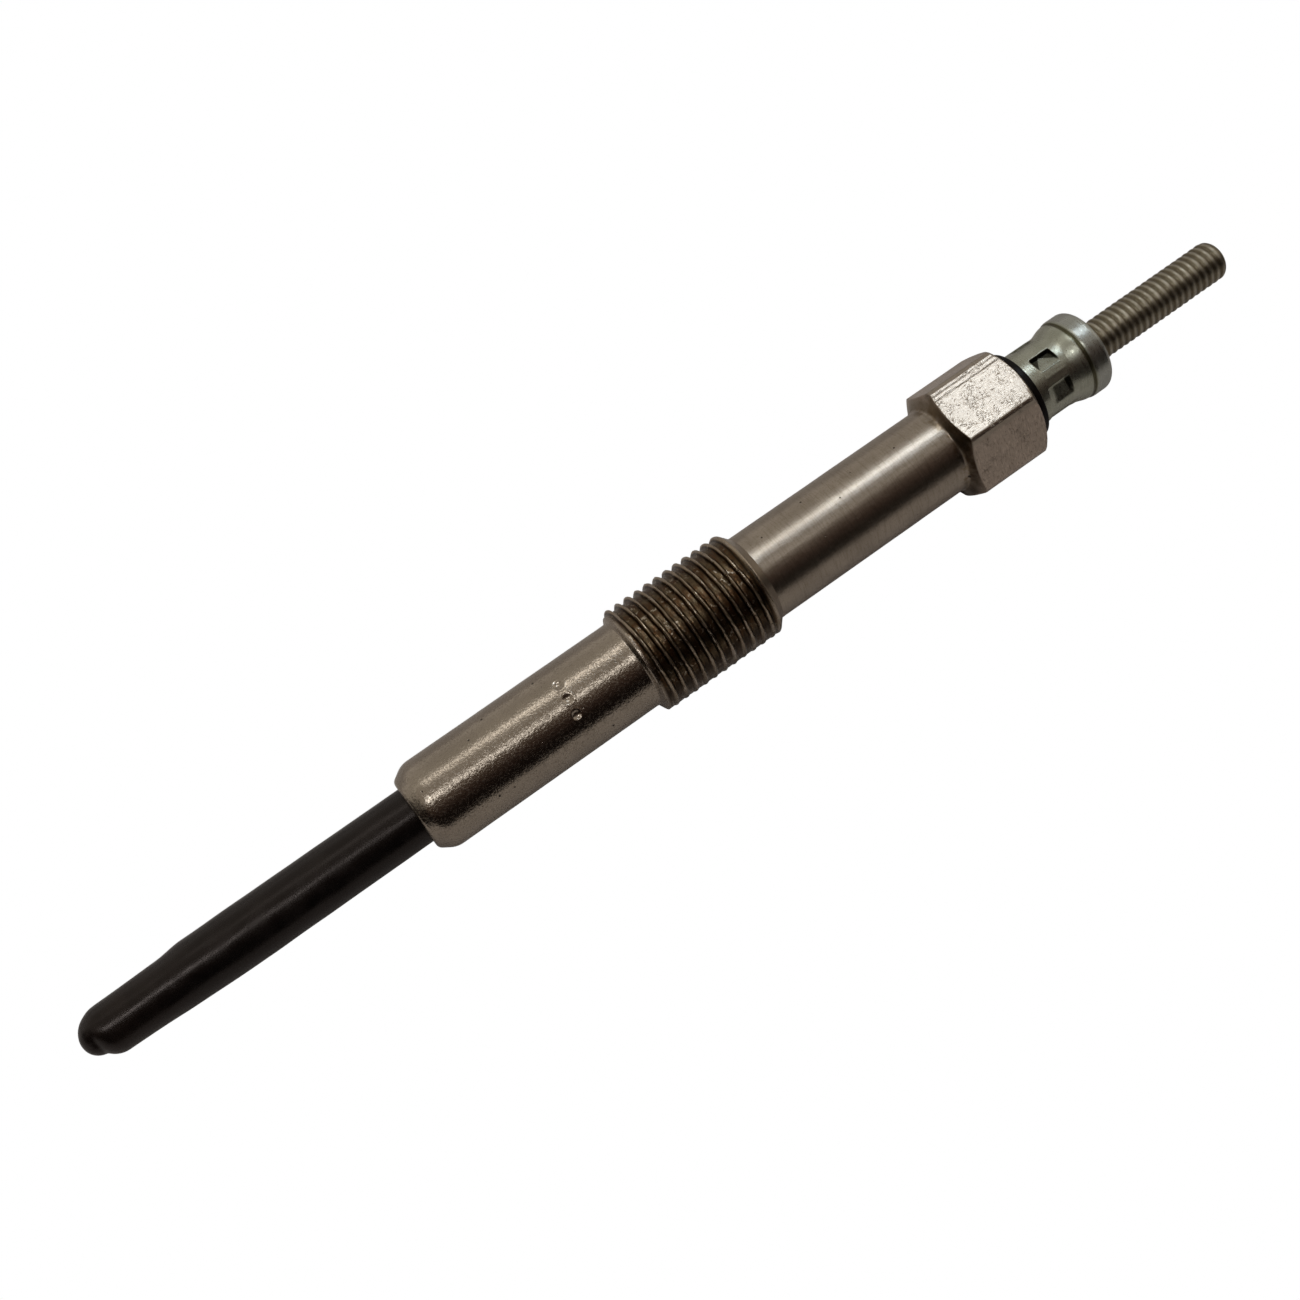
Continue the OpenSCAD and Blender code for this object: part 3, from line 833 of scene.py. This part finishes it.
def plate_relief(b, zone, grain, dirt):
    """Grain, flatter behind the thread, turning marks on the rear shank, and sunk dirt."""
    x = b.mm()[1]

    def beyond_thread(front, rear):
        """One value up to the thread's end and another behind it."""
        return b.span(x, THREAD_END - 0.6, THREAD_END + 1.4, front, rear)

    turned = b.line(zone.hexagon, -0.1, b.span(x, THREAD_END - 1.1, THREAD_END + 6.9, 0.05, 0.22))
    height = b.plus(
        b.times(grain.soft, beyond_thread(0.12, 0.1)),
        b.times(grain.pebble, beyond_thread(0.5, 0.15)),
        b.times(grain.fine, beyond_thread(0.25, 0.2)),
        b.times(zone.thread, 0.6, b.noise(3.6, 2, 0.6)),
        b.times(grain.brushed, turned),
    )
    normal = b.bump(height, 0.5, 0.06)
    return b.bump(b.times(dirt, -1.0), 0.42, 0.08, normal)


def nickel_material():
    """Dull nickel plate with a tarnished thread, a stained shoulder and a scribbled hexagon."""
    mat, b, shader = new_material("nickel_plate")
    x = b.mm()[1]
    zone = SimpleNamespace(
        front=b.span(x, THREAD - 0.6, THREAD + 0.6, 1.0, 0.0),
        thread=b.band(x, THREAD + 0.25, THREAD_END - 0.5, 0.2),
        rear=b.span(x, THREAD_END - 0.6, THREAD_END + 1.4),
        hexagon=b.span(x, HEX - 0.1, HEX + 0.2),
    )
    grain = SimpleNamespace(
        soft=b.noise(3.2, 1, 0.5),
        pebble=b.noise(5.2, 1, 0.6),
        fine=b.noise(6.5, 2, 0.6),
        brushed=b.noise(1.0, 3, 0.6, b.stretch(6.5, 0.7)),
    )
    crest = b.span(b.radius(), R_THREAD - 0.23, R_THREAD - 0.11)
    rub = rubbed_crests(b, crest)
    dirt = plate_dirt(b, zone)
    tarnish = b.times(zone.thread, b.math("SUBTRACT", 1.0, rub))
    colour = b.mix(tarnish, plate_colour(b, zone, grain), thread_colour(b, crest))
    colour = scribble_sides(b, zone, stain_shoulder(b, colour))
    colour = b.mix(b.times(dirt, 0.9), colour, (0.045, 0.036, 0.028))
    b.put(shader["Base Color"], colour)
    b.put(shader["Metallic"], 1.0)
    b.put(shader["Roughness"], plate_roughness(b, zone, grain, rub, dirt))
    b.put(shader["Normal"], plate_relief(b, zone, grain, dirt))
    return mat


# Materials of the other pieces

def oxide_material():
    """Nearly black oxide of the sheath with fine lines along it, slightly redder toward the tip."""
    mat, b, shader = new_material("oxide_sheath")
    x = b.mm()[1]
    cloud = b.noise(0.5, 5, 0.6)
    grain = b.noise(12.0, 4, 0.6)
    lines = b.noise(1.0, 5, 0.6, b.stretch(0.35, 5.0))
    colour = b.mix(b.span(cloud, 0.35, 0.7), (0.0035, 0.0028, 0.0026), (0.0075, 0.006, 0.0055))
    tip = b.times(b.span(x, 2.0, 14.0, 1.0, 0.0), b.span(cloud, 0.35, 0.65, 0.4, 1.0))
    colour = b.mix(b.times(tip, 0.6), colour, (0.012, 0.0075, 0.006))
    colour = b.mix(b.span(lines, 0.62, 0.75, 0.0, 0.4), colour, (0.02, 0.0175, 0.016))
    b.put(shader["Base Color"], colour)
    b.put(shader["IOR"], 1.4)
    b.put(shader["Specular Tint"], (1.0, 0.86, 0.8, 1))
    b.put(shader["Roughness"], b.span(b.plus(grain, cloud), 0.7, 1.3, 0.2, 0.34))
    height = b.plus(b.times(grain, 0.5), b.times(lines, 0.5))
    b.put(shader["Normal"], b.bump(height, 0.2, 0.05))
    return mat


def zinc_material():
    """Yellowish zinc of the nut with turning marks, a greyer flange, a groove darkened with dirt and painted
    shade, and dents darkened with dirt and painted shade.
    """
    mat, b, shader = new_material("zinc_plate")
    x = b.mm()[1]
    cloud = b.noise(0.8, 5, 0.6)
    grain = b.noise(11.0, 4, 0.6)
    turned = b.noise(1.0, 4, 0.6, b.stretch(9.0, 0.6))
    colour = b.mix(b.span(cloud, 0.35, 0.68), (0.385, 0.395, 0.325), (0.46, 0.47, 0.395))
    colour = b.mix(b.span(turned, 0.5, 0.72, 0.0, 0.3), colour, (0.29, 0.29, 0.22))
    colour = b.mix(b.span(x, GROOVE + 0.07, GROOVE + 0.37, 0.0, 0.6), colour, (0.41, 0.42, 0.41))
    # dark olive line along the groove under the flange: dirt and painted shade
    groove = b.band(x, GROOVE - 0.25, GROOVE + 0.1, 0.09)
    colour = b.mix(b.times(groove, 0.92), colour, (0.07, 0.063, 0.028))
    # dents darkened by dirt and painted shade on their walls, floors and lips
    colour = b.mix(b.times(b.stain_and_shade(), 0.93), colour, (0.022, 0.021, 0.012))
    b.put(shader["Base Color"], colour)
    b.put(shader["Metallic"], 1.0)
    b.put(shader["Roughness"], b.span(b.plus(grain, turned), 0.7, 1.3, 0.24, 0.38))
    b.put(shader["Normal"], b.bump(b.plus(b.times(grain, 0.5), turned), 0.22, 0.05))
    return mat


def stud_material():
    """Steel of the stud, dark in the roots of its thread."""
    mat, b, shader = new_material("stud_steel")
    cloud = b.noise(0.7, 4, 0.6)
    grain = b.noise(9.0, 3, 0.6)
    colour = b.mix(b.span(cloud, 0.35, 0.68), (0.345, 0.315, 0.25), (0.46, 0.425, 0.345))
    root = b.span(b.radius(), R_STUD - 0.09, R_STUD - 0.018, 1.0, 0.0)
    root = b.times(root, b.span(grain, 0.3, 0.7, 0.8, 1.0))
    b.put(shader["Base Color"], b.mix(root, colour, (0.14, 0.116, 0.074)))
    b.put(shader["Metallic"], 1.0)
    b.put(shader["Roughness"], b.span(grain, 0.3, 0.75, 0.3, 0.44))
    b.put(shader["Normal"], b.bump(grain, 0.45, 0.04))
    return mat


def bush_material():
    """Black moulded plastic with a faint grain."""
    mat, b, shader = new_material("black_bush")
    cloud = b.noise(1.4, 4, 0.6)
    grain = b.noise(16.0, 3, 0.6)
    colour = b.mix(b.span(cloud, 0.3, 0.7), (0.004, 0.0031, 0.0027), (0.009, 0.007, 0.006))
    b.put(shader["Base Color"], colour)
    b.put(shader["Roughness"], b.span(cloud, 0.3, 0.7, 0.28, 0.4))
    b.put(shader["IOR"], 1.2)
    b.put(shader["Normal"], b.bump(grain, 0.08, 0.04))
    return mat


def inner_material(name, low, high, metal, rough, scale):
    """Pieces inside the plug: two shades of one colour with a fine grain."""
    mat, b, shader = new_material(name)
    cloud = b.noise(scale, 5, 0.6)
    grain = b.noise(scale * 6, 3, 0.6)
    b.put(shader["Base Color"], b.mix(b.span(cloud, 0.35, 0.65), low, high))
    b.put(shader["Metallic"], metal)
    b.put(shader["Roughness"], b.span(grain, 0.3, 0.7, *rough))
    b.put(shader["Normal"], b.bump(grain, 0.2, 0.04))
    return mat


# Pieces of the plug

def dress(obj, node, mat):
    """Puts a detailed piece in place of its solid."""
    obj.data.materials.append(mat)
    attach(obj, "root")
    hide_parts(node)


def paint_node(node, mat):
    """Gives a solid that is carried over its material."""
    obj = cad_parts[node]
    obj.data.materials.clear()
    obj.data.materials.append(mat)


dress(build_housing(), "housing", nickel_material())
dress(build_sheath(), "heater_sheath", oxide_material())
dress(build_bush(), "insulating_bush", bush_material())
dress(build_nut(), "round_nut", zinc_material())
dress(build_electrode(), "centre_electrode", stud_material())

wire = inner_material("coil_wire", (0.36, 0.34, 0.31), (0.48, 0.46, 0.42), 1.0, (0.25, 0.4), 3.0)
rubber = inner_material("seal_rubber", (0.012, 0.011, 0.011), (0.022, 0.02, 0.019), 0.0, (0.6, 0.8), 1.5)
powder = inner_material("magnesia", (0.72, 0.70, 0.65), (0.84, 0.82, 0.77), 0.0, (0.8, 0.95), 2.0)
paint_node("heating_coil", wire)
paint_node("regulating_coil", wire)
paint_node("insulating_powder", powder)
paint_node("sheath_seal", rubber)
paint_node("sealing_ring", rubber)


# Floor, light and camera

WHITE = (1, 1, 1, 1)


def white_to_camera(tree, shader, white, out):
    """Shows plain white where the camera looks straight at a surface, and the shader to all other rays."""
    white.inputs[0].default_value = WHITE
    path = tree.nodes.new("ShaderNodeLightPath")
    mix = tree.nodes.new("ShaderNodeMixShader")
    tree.links.new(path.outputs["Is Camera Ray"], mix.inputs[0])
    tree.links.new(shader.outputs[0], mix.inputs[1])
    tree.links.new(white.outputs[0], mix.inputs[2])
    tree.links.new(mix.outputs[0], out.inputs[0])


def floor_material():
    """Pale floor that looks white and throws a soft, slightly warm light back."""
    mat = bpy.data.materials.new("pale_floor")
    mat.use_nodes = True
    tree = mat.node_tree
    tree.nodes.clear()
    out = tree.nodes.new("ShaderNodeOutputMaterial")
    pale = tree.nodes.new("ShaderNodeBsdfDiffuse")
    pale.inputs[0].default_value = (0.66, 0.63, 0.615, 1)
    white_to_camera(tree, pale, tree.nodes.new("ShaderNodeEmission"), out)
    return mat


def build_floor():
    """Square floor under the plug."""
    half = 3.0
    corners = [(-half, -half, 0), (half, -half, 0), (half, half, 0), (-half, half, 0)]
    mesh = bpy.data.meshes.new("floor")
    mesh.from_pydata(corners, [], [(0, 1, 2, 3)])
    mesh.materials.append(floor_material())
    floor = bpy.data.objects.new("floor", mesh)
    bpy.context.scene.collection.objects.link(floor)


# Room light over the side angle: degrees from straight up toward -Y, then the colour
ROOM = (
    (-180, 0.20, 0.17, 0.15), (-110, 0.56, 0.53, 0.50), (-84, 0.52, 0.49, 0.45), (-68, 0.43, 0.40, 0.36),
    (-50, 0.44, 0.41, 0.36), (-15, 0.40, 0.365, 0.32), (0, 0.33, 0.29, 0.245), (9, 0.27, 0.235, 0.19),
    (16, 0.20, 0.165, 0.13), (24, 0.11, 0.08, 0.062), (36, 0.055, 0.036, 0.028), (48, 0.026, 0.016, 0.013),
    (60, 0.010, 0.007, 0.006), (84, 0.008, 0.006, 0.006), (90, 0.10, 0.09, 0.08), (96, 0.20, 0.17, 0.15),
    (180, 0.20, 0.17, 0.15),
)


@dataclass
class Strip:
    """Soft strip of light along the plug; its strength changes with how far its direction leans along +X."""
    angle: float           # degrees from straight up toward -Y
    width: float           # degrees
    tint: tuple
    stops: tuple           # pairs of lean and strength
    drift: float = 0       # degrees that the strip turns per unit of lean
    sign: float = 1.0      # -1 takes light away


STRIPS = (
    # long highlight along the upper side of the shanks
    Strip(-31.3, 3.6, (1.0, 0.99, 0.96), (
        (-0.6, 0.2), (-0.2, 0.28), (-0.05, 1.1), (0.05, 2.4), (0.17, 2.7), (0.27, 3.6), (0.37, 3.9),
        (0.48, 3.4), (0.56, 1.4), (0.64, 0.28),
    ), drift=19),
    # narrow line along the sheath and the front shank
    Strip(10, 2.2, (0.96, 0.98, 1.0), (
        (-0.6, 0.8), (-0.3, 13.0), (-0.22, 11.5), (-0.16, 7.0), (-0.08, 3.8), (0.03, 3.9), (0.14, 3.8),
        (0.19, 4.6), (0.25, 0.2), (0.36, 0.04), (0.43, 0.35), (0.48, 0.45), (0.55, 0.75),
    ), drift=4),
    # bluish window over the hexagon
    Strip(-22, 9, (0.65, 0.81, 1.0), (
        (0.345, 0.0), (0.37, 6.0), (0.395, 11.5), (0.418, 15.0), (0.432, 0.3), (0.456, 0.15), (0.468, 0.9),
        (0.49, 0.0),
    )),
    # reddish glow low on the rear shank, and shade along its middle
    Strip(42, 14, (1.0, 0.55, 0.4), ((0.2, 0.0), (0.27, 0.03), (0.37, 0.03), (0.42, 0.0))),
    Strip(0, 9, (1.0, 0.95, 0.9), ((0.22, 0.0), (0.26, 0.1), (0.36, 0.1), (0.385, 0.0)), sign=-1.0),
    # yellowish glow low on the nut
    Strip(60, 16, (1.0, 0.95, 0.65), ((0.42, 0.0), (0.44, 0.035), (0.47, 0.035), (0.5, 0.0))),
    # broad light for faces that turn toward the stud's end
    Strip(-15, 45, (1.0, 0.95, 0.88), ((0.66, 0.0), (0.8, 0.32), (0.95, 0.35))),
)


def add_strip(b, light, strip, lean, side):
    """Adds one strip to the light that comes from each direction."""
    middle = b.line(lean, strip.drift, strip.angle)
    off = b.times(b.line(side, math.degrees(1), b.times(middle, -1.0)), 1 / strip.width)
    glow = b.math("EXPONENT", b.times(off, off, -1.0))
    peak = max(strength for _, strength in strip.stops)
    stops = [(at / 2 + 0.5, *(strength / peak * c for c in strip.tint)) for at, strength in strip.stops]
    power = b.ramp(b.line(lean, 0.5, 0.5), stops)
    return b.vector("ADD", light, b.vector("SCALE", power, b.times(glow, peak * strip.sign)))


def build_studio():
    """World with soft room light over the side angle and the strips, darker beyond the plug's tip."""
    world = bpy.data.worlds.new("studio")
    bpy.context.scene.world = world
    world.use_nodes = True
    tree = world.node_tree
    tree.nodes.clear()
    b = Build(tree)
    out = tree.nodes.new("ShaderNodeOutputWorld")
    coordinates = tree.nodes.new("ShaderNodeTexCoord")
    split = tree.nodes.new("ShaderNodeSeparateXYZ")
    tree.links.new(coordinates.outputs["Generated"], split.inputs[0])
    lean, across, up = split.outputs
    side = b.math("ARCTAN2", b.times(across, -1.0), up)
    light = b.ramp(b.line(side, 1 / TAU, 0.5), [(deg / 360 + 0.5, *rgb) for deg, *rgb in ROOM])
    for strip in STRIPS:
        light = add_strip(b, light, strip, lean, side)
    light = b.vector("SCALE", light, b.span(lean, -0.92, -0.82, 0.08, 1.0))
    studio = tree.nodes.new("ShaderNodeBackground")
    tree.links.new(light, studio.inputs[0])
    white_to_camera(tree, studio, tree.nodes.new("ShaderNodeBackground"), out)


def place_camera():
    """Camera at the photograph's viewing angle."""
    frame_px = 1300
    focal_px = 1600.0
    px_per_mm = 11.985
    sensor = 36.0
    tilt = math.radians(9.83)      # toward the plug's tip
    swing = math.radians(21.2)     # toward -Y
    roll = math.radians(34.9)      # of the plug in the picture
    away = math.cos(tilt)
    back = Vector((-math.sin(tilt), -away * math.sin(swing), away * math.cos(swing)))
    along = (Vector((1, 0, 0)) - back * back.x).normalized()
    across = back.cross(along)
    right = along * math.cos(roll) - across * math.sin(roll)
    up = along * math.sin(roll) + across * math.cos(roll)
    target = Vector((54.55 - LENGTH / 2, 0, AXIS_H)) + across * 0.13
    data = bpy.data.cameras.new("camera")
    data.sensor_fit = "HORIZONTAL"
    data.sensor_width = sensor
    data.lens = sensor * focal_px / frame_px
    data.clip_start = 0.005
    obj = bpy.data.objects.new("camera", data)
    place = Matrix.Translation((target + back * (focal_px / px_per_mm)) * MM)
    obj.matrix_world = place @ Matrix((right, up, back)).transposed().to_4x4()
    bpy.context.scene.collection.objects.link(obj)
    bpy.context.scene.camera = obj


build_floor()
build_studio()
place_camera()
bpy.context.scene.view_settings.view_transform = "Standard"
